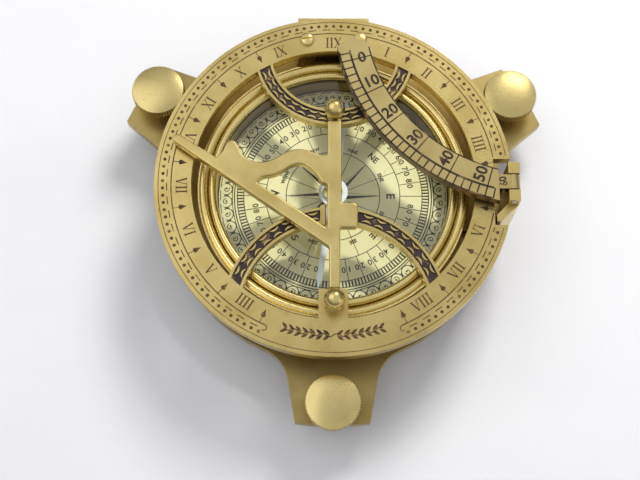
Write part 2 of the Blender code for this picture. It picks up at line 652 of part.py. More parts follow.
def toothed_circle(x, y):
    outline = []
    for i in range(HEAD_TEETH):
        step = 360 / HEAD_TEETH
        for share, radius in ((0, HEAD_RADIUS), (0.5, HEAD_RADIUS - TOOTH_DEPTH)):
            px, py = direction(radius, (i + share) * step)
            outline.append((x + px, y + py))
    return outline


def thumbscrew(name, x, y):
    """A knurled head with a domed top on a shank, whose narrow end sits in the foot."""
    rim, dome = HEAD_TOP - 0.7, HEAD_RADIUS - 0.5
    head = flat(name, [toothed_circle(x, y)], HEAD_BOTTOM, rim, POLISHED_BRASS)
    top = [(dome * share, HEAD_TOP - 0.5 * share**2) for share in (0, 0.5, 0.85)]
    profile = top + [(dome, rim), (dome, HEAD_BOTTOM + 0.5), (4.2, HEAD_BOTTOM + 0.5), (4.2, 9.6)]
    profile += [(SHANK_RADIUS, 9.6), (SHANK_RADIUS, FOOT_TOP + GAP), (1.5, FOOT_TOP + GAP)]
    profile += [(1.5, FOOT_BOTTOM + 1.4), (0, FOOT_BOTTOM + 1.4)]
    join(head, turned(name + "_core", profile, POLISHED_BRASS, x, y, 24))


def foot(name, x, y):
    profile = [(0, FOOT_BOTTOM + 1.1), (1.8, FOOT_BOTTOM + 1.1), (1.8, FOOT_TOP), (3.4, FOOT_TOP)]
    profile += [(FOOT_RADIUS, FOOT_BOTTOM + 1.0), (FOOT_RADIUS, FOOT_BOTTOM), (0, FOOT_BOTTOM)]
    turned(name, profile, AGED_BRASS, x, y, 24)


def levelling_screws():
    for side, (x, y) in SCREW_PLACES.items():
        thumbscrew(f"thumbscrew_{side}", x, y)
        foot(f"foot_{side}", x, y)


# Joint axes


def axis(name, place, pieces):
    """An empty on a joint's axis, which carries the pieces that move about it."""
    empty = bpy.data.objects.new(name, None)
    SUNDIAL.objects.link(empty)
    empty.location = Vector(place) * MM
    for piece in pieces:
        carried = bpy.data.objects[piece]
        carried.parent = empty
        carried.matrix_parent_inverse = Matrix.Translation(-empty.location)


def joint_axes():
    carried = ["hour_ring", "ring_screw_west", "ring_screw_east", "ring_hinge_leaf", "upper_crescent"]
    carried += ["lower_crescent_west", "lower_crescent_east", "pivot_post_north", "pivot_post_south"]
    axis("gnomon_axis", (GNOMON_X, 0, GNOMON_Z), ["gnomon"])
    axis("ring_axis", (0, RING_HINGE_Y, RING_HINGE_Z), carried + ["gnomon_axis"])
    axis("arc_axis", (ARC_HINGE_X, 0, ARC_HINGE_Z), ["latitude_arc"])
    axis("needle_axis", (0, 0, NEEDLE_TOP), ["compass_needle", "needle_cap"])
    for side, (x, y) in SCREW_PLACES.items():
        axis(f"screw_axis_{side}", (x, y, 0), [f"thumbscrew_{side}"])
        axis(f"foot_axis_{side}", (x, y, FOOT_BOTTOM), [f"foot_{side}", f"screw_axis_{side}"])


base_plate()
bottom_cover()
base_screws()
compass_bowl()
bezel_ring()
glass_retainer()
compass_glass()
dial_card()
needle_pivot()
compass_needle()
needle_cap()
hour_ring()
ring_screws()
ring_hinge_leaf()
base_hinge_block()
ring_hinge_pin()
upper_crescent()
lower_crescents()
pivot_post("pivot_post_north", POST_NORTH_Y)
pivot_post("pivot_post_south", POST_SOUTH_Y)
gnomon()
latitude_arc()
arc_bracket()
arc_hinge_pin()
levelling_screws()
joint_axes()
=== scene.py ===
"""Looks of the folding sundial compass.

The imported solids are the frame. This script gives them worn brass, glass and steel, and stands finer
pieces in for the turned and decorated ones. It engraves the scales, and sets a pale table, soft light and
a camera round them. Lengths are in metres: a number in millimetres is multiplied by MM. Bearings are in
degrees clockwise from north.
"""

import math

import bmesh
import bpy
from mathutils import Matrix, Vector


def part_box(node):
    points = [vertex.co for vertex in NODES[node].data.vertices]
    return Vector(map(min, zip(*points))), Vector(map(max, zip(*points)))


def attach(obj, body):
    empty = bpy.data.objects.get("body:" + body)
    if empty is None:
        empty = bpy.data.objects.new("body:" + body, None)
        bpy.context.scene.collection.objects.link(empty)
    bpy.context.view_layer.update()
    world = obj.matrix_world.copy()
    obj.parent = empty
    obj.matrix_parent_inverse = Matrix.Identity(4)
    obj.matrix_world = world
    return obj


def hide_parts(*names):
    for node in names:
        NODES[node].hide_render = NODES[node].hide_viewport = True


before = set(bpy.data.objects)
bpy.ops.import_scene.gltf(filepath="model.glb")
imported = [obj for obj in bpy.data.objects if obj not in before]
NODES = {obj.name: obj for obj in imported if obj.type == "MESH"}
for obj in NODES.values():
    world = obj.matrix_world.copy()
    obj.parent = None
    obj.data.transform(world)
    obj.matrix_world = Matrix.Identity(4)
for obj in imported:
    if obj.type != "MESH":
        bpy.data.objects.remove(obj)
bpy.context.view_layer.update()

MM = 0.001
LIFT = 0.012 * MM  # how far an engraved mark stands above its face, so that it shows
AXIS = 0.0001 * MM  # the radius of a turned piece's points on its axis, which merge into one

# Heights and radii from the frame
RING_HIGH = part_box("hour_ring")[1]
RING_TOP, RING_OUTER = RING_HIGH.z, RING_HIGH.y
ARC_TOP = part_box("latitude_arc")[1].z
CARD_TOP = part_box("dial_card")[1].z
CARD_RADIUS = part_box("dial_card")[1].x
BRIDGE_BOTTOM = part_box("upper_crescent")[0].z
FLOOR_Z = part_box("foot_south")[0].z

# Hour ring: its inner edge, its engraved circles and the gap in it behind the arc's hinge
RING_INNER = RING_OUTER - 10.4 * MM
INNER_LINE = RING_OUTER - 4.8 * MM
DASH_LINE = RING_OUTER - 3.6 * MM
DOT_LINE = RING_OUTER - 2.45 * MM
OUTER_LINE = RING_OUTER - 1.2 * MM
FLOURISH_LINE = RING_OUTER - 5.9 * MM
NOTCH_X, NOTCH_LOW, NOTCH_HIGH = 44.6 * MM, -12.8 * MM, 6.6 * MM
NUMERAL_MIDDLE, NUMERAL_HEIGHT = RING_OUTER - 7.7 * MM, 3.0 * MM

# Hour ring, in degrees: half the gap in the circles at the south, from XII to the first hour less one
# pitch, from hour to hour, from an hour to its spade, and the spacing of the dots and dashes
SOUTH_GAP = 24.0
XII_MARGIN, HOUR_PITCH, HALF_HOUR = 3.6, 17.75, 8.4
DOT_PITCH, DASH_PITCH, DASH_LENGTH = 2.59, 5.06, 2.8

# Decorated bridges: middle, outer radius and inner radius
NORTH_BRIDGE = (0.2 * MM, 39.7 * MM, 23.0 * MM, 18.2 * MM)
SOUTH_BRIDGE = (0.5 * MM, -38.5 * MM, 30.8 * MM, 26.2 * MM)

# Latitude arc: its middle, its edges, the line that divides its scale, and the angles where it starts,
# of its zero and from ten to ten
ARC_MIDDLE = (57.6 * MM, 48.8 * MM)
ARC_OUTER, ARC_INNER, ARC_LINE = 57.5 * MM, 48.5 * MM, 54.3 * MM
ARC_START, ARC_ZERO, ARC_TEN = 192.0, 195.2, 11.65

# Compass card: the rose, and the circles round the winds, the degrees, the ticks and the border
ROSE_REACH, ROSE_VALLEY = 13.5 * MM, 2.9 * MM
WIND_CIRCLE, DEGREE_CIRCLE, TICK_CIRCLE, BORDER_CIRCLE = 19.3 * MM, 25.7 * MM, 27.6 * MM, 28.4 * MM

# The screws carry their feet 1.2 mm down, so the table lies a little lower than the feet at rest
TABLE_GAP = 1.5 * MM

# Camera: focal length on a 36 mm film, place, and turn about x, y and z in degrees
PHOTO_LENS = 67.5
CAMERA_PLACE = Vector((-3.66, -115.8, 335.6)) * MM
CAMERA_TURN = (17.415, -0.074, 0.244)


# Materials


class Nodes:
    """A material's node tree, with short calls for making and joining its nodes."""

    def __init__(self, name):
        self.material = bpy.data.materials.new(name)
        self.material.use_nodes = True
        self.tree = self.material.node_tree
        self.tree.nodes.clear()
        self.output = self.tree.nodes.new("ShaderNodeOutputMaterial")

    def add(self, kind, **inputs):
        """A shader node, with its inputs set by name."""
        node = self.tree.nodes.new("ShaderNode" + kind)
        for name, value in inputs.items():
            self.set(node.inputs[name.replace("_", " ")], value)
        return node

    def set(self, socket, value):
        """Joins a node's output to an input, or gives the input a value or a colour."""
        if isinstance(value, bpy.types.NodeSocket):
            self.tree.links.new(value, socket)
        elif isinstance(value, (tuple, list)) and len(value) == 3 and len(socket.default_value) == 4:
            socket.default_value = (*value, 1.0)
        else:
            socket.default_value = value

    def place(self, stretch):
        """Places on the object, each axis multiplied by its stretch."""
        coordinates = self.add("TexCoord")
        return self.add("Mapping", Vector=coordinates.outputs["Object"], Scale=stretch).outputs[0]

    def noise(self, scale, detail, stretch=(1, 1, 1), rough=0.5):
        """Noise from 0 to 1, with its scale in waves to the metre."""
        node = self.add("TexNoise", Vector=self.place(stretch), Scale=scale, Detail=detail, Roughness=rough)
        return node.outputs["Fac"]

    def ramp(self, factor, low, high, start=0.0, end=1.0):
        """Goes from start to end as factor goes from low to high."""
        node = self.add("MapRange", Value=factor)
        for socket, value in zip(node.inputs[1:5], (low, high, start, end)):
            socket.default_value = value
        return node.outputs[0]

    def mix(self, factor, first, second):
        """A mix of two colours."""
        node = self.tree.nodes.new("ShaderNodeMix")
        node.data_type = "RGBA"
        self.set(node.inputs["Factor"], factor)
        colours = [socket for socket in node.inputs if socket.type == "RGBA"]
        self.set(colours[0], first)
        self.set(colours[1], second)
        return next(socket for socket in node.outputs if socket.type == "RGBA")

    def maths(self, operation, first, second):
        """The result of an operation on two values."""
        node = self.tree.nodes.new("ShaderNodeMath")
        node.operation = operation
        self.set(node.inputs[0], first)
        self.set(node.inputs[1], second)
        return node.outputs[0]

    def bump(self, height, strength, distance, **under):
        """A bumpy normal, on top of an earlier one given as Normal."""
        return self.add("Bump", Height=height, Strength=strength, Distance=distance, **under).outputs[0]

    def upward(self):
        """How far a face looks up: 1 on top, 0 on an upright wall and underneath."""
        split = self.add("SeparateXYZ", Vector=self.add("TexCoord").outputs["Normal"])
        return self.maths("MAXIMUM", split.outputs["Z"], 0.0)

    def crevice(self, distance):
        """1 in the open, towards 0 where other faces come within the distance."""
        node = self.add("AmbientOcclusion", Distance=distance)
        node.samples = 4
        return node.outputs["AO"]

    def shader(self, **inputs):
        """Ends the tree with a principled shader and gives the material."""
        node = self.add("BsdfPrincipled", **inputs)
        self.tree.links.new(node.outputs[0], self.output.inputs["Surface"])
        return self.material


STAIN_BROWN, SPECK_BROWN = (0.30, 0.16, 0.10), (0.34, 0.22, 0.07)
# Brown of the painted shade on faces that don't look up, and of the dirt where faces meet
WALL_SHADE_BROWN, DIRT_BROWN = (0.13, 0.065, 0.025), (0.17, 0.085, 0.025)


def brass(name, colour, dark, rough, stain=0.25, grime=0.75, brushed=(1, 1, 1), dents=0.15, grain=0.03,
          wall_shade=0.0):
    """Worn brass: mottled towards dark, with brown stains and specks, scratches and dirt where faces meet.

    brushed squeezes the scratches along an axis. The last argument darkens the faces that don't look up
    towards brown, as painted shade.
    """
    nodes = Nodes(name)
    mottle = nodes.ramp(nodes.noise(90, 4), 0.38, 0.66)
    tone = nodes.mix(nodes.maths("MULTIPLY", mottle, 0.75), colour, dark)
    spots = nodes.ramp(nodes.noise(150, 5, rough=0.6), 0.62, 0.72, 0.0, stain)
    tone = nodes.mix(spots, tone, STAIN_BROWN)
    speck = nodes.ramp(nodes.noise(900, 2), 0.68, 0.78, 0.0, 0.35)
    tone = nodes.mix(speck, tone, SPECK_BROWN)
    # Painted shade: the faces that don't look up are darkened towards brown
    if wall_shade:
        tone = nodes.mix(nodes.ramp(nodes.upward(), 0.3, 0.8, wall_shade, 0.0), tone, WALL_SHADE_BROWN)
    dirt = nodes.ramp(nodes.crevice(1.6 * MM), 0.25, 0.85, grime, 0.0) if grime else 0.0
    tone = nodes.mix(dirt, tone, DIRT_BROWN)
    scratches = nodes.noise(2600, 3, brushed)
    roughness = nodes.ramp(scratches, 0.3, 0.7, rough - 0.02, rough + 0.03)
    roughness = nodes.maths("ADD", roughness, nodes.maths("MULTIPLY", dirt, 0.25))
    dimples = nodes.bump(nodes.noise(420, 1), dents, 0.05 * MM)
    fine = nodes.bump(scratches, grain, 0.02 * MM, Normal=dimples)
    return nodes.shader(Base_Color=tone, Metallic=1.0, Roughness=roughness, Normal=fine)


def engraving(name, colour):
    """Dark filler in an engraved line: matt, uneven, and rubbed thin in places."""
    nodes = Nodes(name)
    worn = nodes.ramp(nodes.noise(500, 4), 0.55, 0.8, 0.0, 0.55)
    tone = nodes.mix(worn, colour, (0.42, 0.28, 0.10))
    grain = nodes.bump(nodes.noise(5000, 2), 0.4, 0.02 * MM)
    return nodes.shader(Base_Color=tone, Roughness=0.7, Metallic=0.0, Normal=grain)


def card_face():
    """The card's pale lacquered face: a little cloudy, with brown flecks and a fine brushed grain."""
    nodes = Nodes("card_face")
    cloud = nodes.ramp(nodes.noise(70, 4), 0.35, 0.7, 0.0, 0.5)
    tone = nodes.mix(cloud, (0.92, 0.82, 0.46), (0.82, 0.71, 0.34))
    fleck = nodes.ramp(nodes.noise(700, 2), 0.66, 0.74, 0.0, 0.3)
    tone = nodes.mix(fleck, tone, (0.40, 0.28, 0.10))
    grain = nodes.bump(nodes.noise(2600, 3, (1, 8, 1)), 0.15, 0.02 * MM)
    return nodes.shader(Base_Color=tone, Metallic=0.25, Roughness=0.45, Normal=grain)


def steel():
    """Pale silvered steel, brushed."""
    nodes = Nodes("silvered_steel")
    tone = nodes.mix(nodes.ramp(nodes.noise(200, 3), 0.4, 0.7), (0.95, 0.96, 0.98), (0.84, 0.86, 0.89))
    lines = nodes.noise(2400, 2, (8, 1, 1))
    roughness = nodes.ramp(lines, 0.3, 0.7, 0.22, 0.36)
    grain = nodes.bump(lines, 0.1, 0.02 * MM)
    return nodes.shader(Base_Color=tone, Metallic=0.3, Roughness=roughness, Normal=grain)


def glass():
    """Flat glass: light passes straight through, and its face mirrors the room, dulled by faint smears."""
    nodes = Nodes("watch_glass")
    smear = nodes.ramp(nodes.noise(60, 5, (1, 3, 1)), 0.4, 0.7, 0.02, 0.09)
    gloss = nodes.add("BsdfGlossy", Color=(0.93, 0.95, 1.0), Roughness=smear)
    clear = nodes.add("BsdfTransparent", Color=(0.94, 0.96, 0.96))
    facing = nodes.add("Fresnel", IOR=1.6)
    inside = nodes.add("NewGeometry").outputs["Backfacing"]
    share = nodes.maths("MULTIPLY", facing.outputs[0], nodes.maths("SUBTRACT", 1.0, inside))
    mixed = nodes.add("MixShader")
    nodes.set(mixed.inputs[0], share)
    nodes.tree.links.new(clear.outputs[0], mixed.inputs[1])
    nodes.tree.links.new(gloss.outputs[0], mixed.inputs[2])
    nodes.tree.links.new(mixed.outputs[0], nodes.output.inputs["Surface"])
    return nodes.material


def cloth():
    """A pale cotton table cover, with a fine weave and slow folds."""
    nodes = Nodes("table_cloth")
    tone = nodes.mix(nodes.noise(25, 4), (0.86, 0.86, 0.88), (0.80, 0.80, 0.82))
    folds = nodes.bump(nodes.noise(9, 3, (1, 1.6, 1)), 0.35, 6 * MM)
    weave = nodes.bump(nodes.noise(1300, 1), 0.25, 0.15 * MM, Normal=folds)
    return nodes.shader(Base_Color=tone, Roughness=0.95, Normal=weave)


PALE, DEEP = (0.70, 0.55, 0.22), (0.54, 0.40, 0.13)
SATIN = brass("satin_brass_worn", PALE, DEEP, 0.28)
CAST = brass("cast_brass_rubbed", (0.74, 0.59, 0.24), DEEP, 0.29, stain=0.12, dents=0.4)
POLISHED = brass(
    "polished_brass_worn", (0.84, 0.68, 0.29), (0.70, 0.54, 0.20), 0.26,
    stain=0.08, grime=0.0, dents=0.03, grain=0.0)
# The base plate and bowl are a darker brass than the ring: painted shade, for lying lower and facing the
# darker room
BASE = brass(
    "base_brass_dull_shaded", (0.47, 0.36, 0.14), (0.35, 0.25, 0.08), 0.36, stain=0.35, brushed=(6, 1, 1))
HEAD = brass(
    "satin_brass_turned", (0.72, 0.58, 0.25), (0.58, 0.45, 0.17), 0.27, stain=0.08, dents=0.06, grain=0.0)
# The arc's walls get painted shade: its faces that don't look up turn dark brown
ARC = brass("arc_brass_aged_wall_shade", (0.60, 0.48, 0.21), (0.47, 0.36, 0.14), 0.31, wall_shade=0.85)
AGED = brass("aged_brass_dark", (0.52, 0.39, 0.14), (0.36, 0.26, 0.09), 0.44, stain=0.4)
ENGRAVED = engraving("engraved_brown", (0.055, 0.028, 0.010))
SCALE_INK = engraving("engraved_black", (0.022, 0.014, 0.008))
CARD_INK = engraving("card_ink", (0.045, 0.040, 0.020))
GROUND = engraving("bridge_ground", (0.024, 0.014, 0.014))
CARD = card_face()
STEEL = steel()
GLASS = glass()


# Mesh building


def finish_piece(name, work, material, body, smooth=None):
    """Makes a piece from a bmesh and puts it on its body.

    smooth is the sharpest angle that is shaded smooth, in degrees. With none, all faces are flat.
    """
    bmesh.ops.recalc_face_normals(work, faces=work.faces)
    mesh = bpy.data.meshes.new(name)
    work.to_mesh(mesh)
    work.free()
    mesh.materials.append(material)
    if smooth:
        mesh.shade_smooth()
        mesh.set_sharp_from_angle(angle=math.radians(smooth))
    piece = bpy.data.objects.new(name, mesh)
    bpy.context.scene.collection.objects.link(piece)
    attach(piece, body)
    return piece


def polygon(work, points, z):
    """One flat face."""
    verts = [work.verts.new((x, y, z)) for x, y in points]
    work.faces.new(verts)


def ribbon(work, points, width, z, closed=False):
    """A flat line of the given width through the points."""
    points = [Vector(p) for p in points]
    count = len(points)
    sides = []
    for i, point in enumerate(points):
        before = points[i - 1] if i or closed else point
        after = points[(i + 1) % count] if i < count - 1 or closed else point
        along = (after - before).normalized()
        across = Vector((-along.y, along.x)) * width / 2
        sides.append([work.verts.new((*(point + across), z)), work.verts.new((*(point - across), z))])
    for i in range(count if closed else count - 1):
        (a, b), (c, d) = sides[i], sides[(i + 1) % count]
        work.faces.new((a, c, d, b))


def polar(radius, bearing, middle=(0.0, 0.0)):
    """The point at that bearing, clockwise from north."""
    angle = math.radians(bearing)
    return middle[0] + radius * math.sin(angle), middle[1] + radius * math.cos(angle)


def sweep(radius, start, end, step, middle=(0.0, 0.0)):
    """Points on a circle between two bearings, no more than step degrees apart."""
    count = max(2, math.ceil(abs(end - start) / step) + 1)
    return [polar(radius, start + (end - start) * i / (count - 1), middle) for i in range(count)]


def dot(work, centre, radius, z, sides):
    """A flat disc."""
    polygon(work, sweep(radius, 0, 360 * (sides - 1) / sides, 360 / sides, centre), z)


def placed(points, origin, right, scale):
    """Points of a small drawing, moved to origin with its x axis along right."""
    origin, right = Vector(origin), Vector(right).normalized()
    up = Vector((-right.y, right.x))
    return [tuple(origin + right * (x * scale) + up * (y * scale)) for x, y in points]


def turned(name, profile, steps, material, body, place=(0.0, 0.0), wave=None, smooth=40):
    """A turned piece. profile is (radius, height) points. wave changes a radius from step to step."""
    work = bmesh.new()
    rings = []
    for radius, z in profile:
        row = []
        for i in range(steps):
            angle = 2 * math.pi * i / steps
            reach = wave(radius, i) if wave else radius
            x, y = place[0] + reach * math.cos(angle), place[1] + reach * math.sin(angle)
            row.append(work.verts.new((x, y, z)))
        rings.append(row)
    for first, second in zip(rings, rings[1:]):
        for i in range(steps):
            j = (i + 1) % steps
            work.faces.new((first[i], first[j], second[j], second[i]))
    bmesh.ops.remove_doubles(work, verts=work.verts, dist=0.001 * MM)
    return finish_piece(name, work, material, body, smooth)


def slab(work, outline, low, high):
    """An upright-sided solid between two heights."""
    bottom = [work.verts.new((x, y, low)) for x, y in outline]
    top = [work.verts.new((x, y, high)) for x, y in outline]
    work.faces.new(top)
    work.faces.new(bottom[::-1])
    for i in range(len(outline)):
        j = (i + 1) % len(outline)
        work.faces.new((bottom[i], bottom[j], top[j], top[i]))


# Letters


def text_outline(words, size, bold):
    """The built-in font's letters as a flat mesh, with its middle at the origin."""
    curve = bpy.data.curves.new("word", "FONT")
    curve.body = words
    curve.size = size
    curve.offset = bold
    curve.align_x, curve.align_y = "CENTER", "CENTER"
    curve.resolution_u = 3
    word = bpy.data.objects.new("word", curve)
    bpy.context.scene.collection.objects.link(word)
    bpy.context.view_layer.update()
    mesh = bpy.data.meshes.new_from_object(word)
    bpy.data.objects.remove(word)
    return mesh


def write(work, words, size, place, right, z, bold):
    """Adds words to a drawing, with their middle at place and reading along right."""
    mesh = text_outline(words, size, bold)
    angle = math.atan2(right[1], right[0])
    mesh.transform(Matrix.Translation((*place, z)) @ Matrix.Rotation(angle, 4, "Z"))
    work.from_mesh(mesh)
    bpy.data.meshes.remove(mesh)


# Roman letters, one high: how far each moves the next one on, and its strokes' starts, ends and widths
STEM, HAIR = 0.15, 0.06
GLYPHS = {
    "I": (0.40, [
        ((0, 0), (0, 1), STEM),
        ((-0.17, 0), (0.17, 0), HAIR),
        ((-0.17, 1), (0.17, 1), HAIR),
    ]),
    "V": (0.78, [
        ((-0.27, 1), (0, 0), STEM),
        ((0.27, 1), (0, 0), HAIR),
        ((-0.38, 1), (-0.14, 1), HAIR),
        ((0.15, 1), (0.38, 1), HAIR),
    ]),
    "X": (0.78, [
        ((-0.27, 1), (0.27, 0), STEM),
        ((0.27, 1), (-0.27, 0), HAIR),
        ((-0.38, 1), (-0.15, 1), HAIR),
        ((0.15, 1), (0.38, 1), HAIR),
        ((-0.38, 0), (-0.15, 0), HAIR),
        ((0.15, 0), (0.38, 0), HAIR),
    ]),
}

# The hours from XII on, down each side
HOURS_EAST = ("I", "II", "III", "IIII", "V", "VI", "VII", "VIII")
HOURS_WEST = ("XI", "X", "IX", "VIII", "VII", "VI", "V", "IIII")


def roman(work, numeral, bearing, z):
    """A Roman numeral on the hour ring, with its top towards the middle."""
    angle = math.radians(bearing)
    right = (-math.cos(angle), math.sin(angle))
    total = sum(GLYPHS[letter][0] for letter in numeral)
    x = -total / 2
    for letter in numeral:
        advance, strokes = GLYPHS[letter]
        x += advance / 2
        for start, end, width in strokes:
            points = [(x + start[0], start[1] - 0.5), (x + end[0], end[1] - 0.5)]
            line = placed(points, polar(NUMERAL_MIDDLE, bearing), right, NUMERAL_HEIGHT)
            ribbon(work, line, width * NUMERAL_HEIGHT, z)
        x += advance / 2


# Hour ring


def hour_bearing(hour):
    """Bearing of the nth hour from XII. A negative hour lies to the west."""
    return math.copysign(XII_MARGIN + HOUR_PITCH * abs(hour), hour) if hour else 0.0


def in_notch(point, margin):
    """Whether a point of the ring's face falls in the gap behind the arc's hinge, or within margin of it."""
    x, y = point
    return x > NOTCH_X - margin and NOTCH_LOW - margin < y < NOTCH_HIGH + margin


def ring_line(work, radius, start, end, width, z):
    """A circle's line on the ring's face, left out where the face is cut away."""
    points, margin = sweep(radius, start, end, 1.0), 0.3 * MM
    for first, second in zip(points, points[1:]):
        if not in_notch(first, margin) and not in_notch(second, margin):
            ribbon(work, [first, second], width, z)


def spade(work, bearing, z):
    """A half hour's mark: a spade that points at the middle, on a stem from the inner circle."""
    inward = Vector(polar(-1, bearing))
    right = (inward.y, -inward.x)
    stem_top = 1.7 * MM
    half = [(0.12, 0.0), (0.45, 0.05), (0.72, 0.30), (0.70, 0.62), (0.45, 1.10), (0.18, 1.75), (0.0, 2.35)]
    outline = half + [(-x, y) for x, y in reversed(half[:-1])]
    root = Vector(polar(INNER_LINE, bearing))
    polygon(work, placed(outline, root + inward * stem_top, right, MM), z)
    # Beside the gap there is no circle to start from, so the stem is shorter there
    stem_foot = root + inward * (0.5 * MM if in_notch(root, 0.2 * MM) else 0)
    ribbon(work, [stem_foot, root + inward * (stem_top + 0.3 * MM)], 0.22 * MM, z)


def circle_ends(work, side, z):
    """The curl that closes the inner circle beside the gap at the south."""
    end = 180 - side * SOUTH_GAP
    turn = 0.8 * MM
    middle = polar(INNER_LINE + turn, end)
    start = math.degrees(math.atan2(-middle[0], -middle[1]))
    curl = sweep(turn, start, start - side * 190, 20, middle)
    ribbon(work, curl, 0.28 * MM, z)


def hour_scale():
    """The ring's circles, dots and dashes, its hours and the spades between them."""
    z = RING_TOP + LIFT
    work = bmesh.new()
    low, high = -180 + SOUTH_GAP, 180 - SOUTH_GAP
    ring_line(work, INNER_LINE, low, high, 0.32 * MM, z)
    ring_line(work, OUTER_LINE, 0, 360, 0.20 * MM, z)
    for side in (-1, 1):
        circle_ends(work, side, z)
    # The dots and dashes stop a degree short of the gap
    first, span = low + 1, high - low - 2
    dots, dashes = round((high - low) / DOT_PITCH), round((high - low) / DASH_PITCH)
    for i in range(dots + 1):
        centre = polar(DOT_LINE, first + span * i / dots)
        if not in_notch(centre, 0.6 * MM):
            dot(work, centre, 0.50 * MM, z, 8)
    for i in range(dashes):
        start = first + span * (i + 0.2) / dashes
        ring_line(work, DASH_LINE, start, start + DASH_LENGTH, 0.28 * MM, z)
    roman(work, "XII", 0, z)
    for hour, (east, west) in enumerate(zip(HOURS_EAST, HOURS_WEST), 1):
        roman(work, east, hour_bearing(hour), z)
        roman(work, west, hour_bearing(-hour), z)
        half_hour = hour_bearing(hour) + HALF_HOUR
        spade(work, half_hour, z)
        spade(work, -half_hour, z)
    finish_piece("hour_scale", work, ENGRAVED, "hour_ring")


def scroll(middle, turns, reach, start, hand, steps):
    """Points of a spiral that unwinds from middle, clockwise if hand is 1."""
    points = []
    for i in range(steps):
        share = i / (steps - 1)
        points.append(polar(reach * (0.15 + 0.85 * share), start + hand * 360 * turns * share, middle))
    return points


def leaf(work, root, direction, length, half_width, z):
    """A pointed leaf that grows from root."""
    across, steps = Vector((-direction.y, direction.x)), 8
    edge = [(i / steps, half_width * math.sin(math.pi * i / steps)) for i in range(steps + 1)]
    outline = [root + direction * length * share + across * half for share, half in edge]
    outline += [root + direction * length * share - across * half for share, half in edge[-2:0:-1]]
    polygon(work, outline, z)


def ring_flourish():
    """A leafy stem in the gap of the circles at the south of the ring."""
    z = RING_TOP + LIFT
    work = bmesh.new()
    reach, pairs, steps = 17.5, 14, 90
    stem = []
    for i in range(steps + 1):
        share = 2 * i / steps - 1
        swing = 0.45 * MM * math.sin(share * pairs * math.pi / 2)
        stem.append(polar(FLOURISH_LINE + swing, 180 + reach * share))
    ribbon(work, stem, 0.30 * MM, z)
    for i in range(pairs):
        bearing = 180 + reach * ((2 * i + 1) / pairs - 1)
        hand = 1 if bearing > 180 else -1
        along = Vector(polar(hand, bearing + 90))
        for side in (-1, 1):
            direction = (Vector(polar(side, bearing)) * 0.8 + along).normalized()
            leaf(work, Vector(polar(FLOURISH_LINE, bearing)), direction, 2.3 * MM, 0.42 * MM, z)
    finish_piece("ring_flourish", work, ENGRAVED, "hour_ring")


# Latitude arc


def arc_point(radius, angle):
    """A point of the latitude arc. Its angles run anticlockwise from east."""
    return polar(radius, 90 - angle, ARC_MIDDLE)


def latitude_scale():
    """The arc's border lines, the line that divides it, a rung for each two degrees, and the tens."""
    z = ARC_TOP + LIFT
    work = bmesh.new()
    end = ARC_ZERO + 5 * ARC_TEN + 2.0
    for radius, width in ((ARC_LINE, 0.62), (ARC_OUTER - 0.22 * MM, 0.44), (ARC_INNER + 0.22 * MM, 0.40)):
        ribbon(work, sweep(radius, 90 - ARC_START, 90 - end, 2, ARC_MIDDLE), width * MM, z)
    # One rung before the 0 and two past the 50
    for rung in range(-1, 28):
        angle = ARC_ZERO + rung * (ARC_TEN / 5)
        ribbon(work, [arc_point(ARC_LINE, angle), arc_point(ARC_OUTER - 0.1 * MM, angle)], 0.42 * MM, z)
    for ten in range(6):
        angle = ARC_ZERO + ten * ARC_TEN
        ribbon(work, [arc_point(ARC_INNER + 0.1 * MM, angle), arc_point(ARC_LINE, angle)], 0.36 * MM, z)
        ahead = 2.9 if ten else 0.0
        inward = Vector(ARC_MIDDLE) - Vector(arc_point(ARC_LINE, angle - ahead))
        place = arc_point((ARC_INNER + ARC_LINE) / 2, angle - ahead)
        write(work, str(10 * ten), 4.5 * MM, place, inward, z + LIFT, 0.13 * MM)
    finish_piece("latitude_scale", work, SCALE_INK, "latitude_arc")


def knuckle_number():
    """The last number of the latitude scale, on the flat tab by the hinge."""
    work = bmesh.new()
    z = ARC_TOP - 0.3 * MM + LIFT
    write(work, "60", 2.8 * MM, (46.6 * MM, -1.7 * MM), (-0.2, 1.0), z, 0.09 * MM)
    finish_piece("latitude_sixty", work, SCALE_INK, "latitude_arc")


# Decorated bridges


def bearing_range(bridge, radius, overlap):
    """Bearings, about a bridge's middle, where its circle meets the ring's inner edge.

    Both ends run on by overlap degrees.
    """
    x, y = bridge[0], bridge[1]
    away = math.hypot(x, y)
    cosine = (RING_INNER**2 - away**2 - radius**2) / (2 * radius * away)
    spread = math.degrees(math.acos(max(-1.0, min(1.0, cosine))))
    outward = math.degrees(math.atan2(x, y))
    return outward + spread - overlap, outward + 360 - spread + overlap


def band(work, bridge, inner, outer, limits, low, high):
    """A solid strip of a bridge between two radii and two heights. limits trims its bearings."""
    middle = bridge[:2]
    ends = []
    for radius in (outer, inner):
        start, end = bearing_range(bridge, radius, 1.2)
        ends.append((max(start, limits[0]) if limits else start, min(end, limits[1]) if limits else end))
    outline = sweep(outer, *ends[0], 3, middle) + sweep(inner, *reversed(ends[1]), 3, middle)
    slab(work, outline, low, high)


def crescent_mark(work, place, bearing, side, low, high):
    """One raised crescent, with its back to the bridge's middle line. side is 1 for the outer row."""
    x, y, outer, inner = place
    back, hollow, thick = 1.65 * MM, 3.6 * MM, 0.52 * MM
    middle_radius = (outer + inner) / 2 + side * (0.36 * MM + back)
    centre = polar(middle_radius, bearing, (x, y))
    hollow_centre = polar(middle_radius + side * (hollow + thick - back), bearing, (x, y))
    facing = bearing + (180 if side > 0 else 0)
    outline = sweep(back, facing - 60, facing + 60, 12, centre)
    outline += sweep(hollow, facing + 22, facing - 22, 11, hollow_centre)
    slab(work, outline, low, high)


